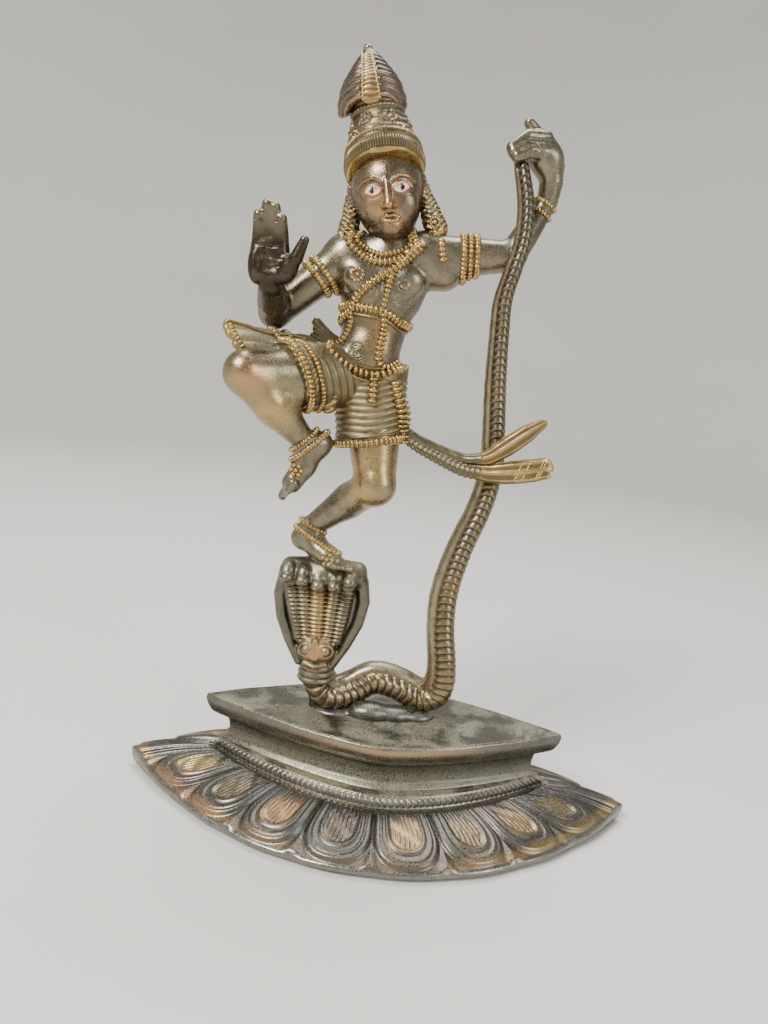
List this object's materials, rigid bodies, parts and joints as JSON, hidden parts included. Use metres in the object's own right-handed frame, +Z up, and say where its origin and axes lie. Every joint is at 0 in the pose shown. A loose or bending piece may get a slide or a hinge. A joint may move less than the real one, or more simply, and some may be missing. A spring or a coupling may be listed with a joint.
{
  "type": "brass dancing figure statue",
  "caption": "Cast brass dancer standing on a multi-headed cobra hood, holding its raised tail, on a pointed-oval lotus pedestal.",
  "frame": {"origin": "centre of the pedestal's resting face", "axes": "+Z up, -Y towards the front of the figure, +X towards the dancer's left"},
  "size_m": [0.224, 0.116, 0.3056],
  "materials": {
    "pedestal_brass": "dark patina, worn to coppery gold on edges and petals",
    "serpent_brass": "dark patina with gold on the raised ribs",
    "figure_brass": "smooth dark bronze patina with coppery wear",
    "ornament_brass": "worn golden brass with dark recesses",
    "eye_enamel": "hand-painted white enamel with red rim and black pupil",
    "braze_metal": "dull grey solder-like braze"
  },
  "bodies": {
    "root": {"bead_band": "pedestal_brass", "braze_fillet": "braze_metal", "centre_tassel": "ornament_brass", "chest_band": "ornament_brass", "cobra_heads": "serpent_brass", "crown_cap": "ornament_brass", "crown_drum": "ornament_brass", "crown_front_strip": "ornament_brass", "crown_headband": "ornament_brass", "flare_hem": "ornament_brass", "hanging_cord": "ornament_brass", "head": "figure_brass", "hip_tassel": "ornament_brass", "hip_wrap": "ornament_brass", "hood_collar": "serpent_brass", "hood_mask": "serpent_brass", "hood_necks": "serpent_brass", "hood_plate": "serpent_brass", "left_anklet": "ornament_brass", "left_armlet": "ornament_brass", "left_earring": "ornament_brass", "left_foot": "figure_brass", "left_forearm": "figure_brass", "left_hand": "figure_brass", "left_shank": "figure_brass", "left_thigh": "figure_brass", "left_upper_arm": "figure_brass", "lotus_base": "pedestal_brass", "lotus_petals": "pedestal_brass", "neck": "figure_brass", "necklace": "ornament_brass", "painted_eyes": "eye_enamel", "pedestal_neck": "pedestal_brass", "pedestal_slab": "pedestal_brass", "pelvis": "figure_brass", "right_anklet": "ornament_brass", "right_armlet": "ornament_brass", "right_earring": "ornament_brass", "right_foot": "figure_brass", "right_forearm": "figure_brass", "right_hand": "figure_brass", "right_shank": "figure_brass", "right_thigh": "figure_brass", "right_upper_arm": "figure_brass", "sacred_thread": "ornament_brass", "sash_band": "ornament_brass", "sash_lower_tail": "ornament_brass", "sash_upper_tail": "ornament_brass", "serpent_coil": "serpent_brass", "serpent_riser": "serpent_brass", "serpent_tail": "serpent_brass", "skirt_flare": "ornament_brass", "tang_rivets": "braze_metal", "torso": "figure_brass", "waist_belt": "ornament_brass", "wrap_hem": "ornament_brass", "wrist_bangles": "ornament_brass"}
  },
  "joints": []
}
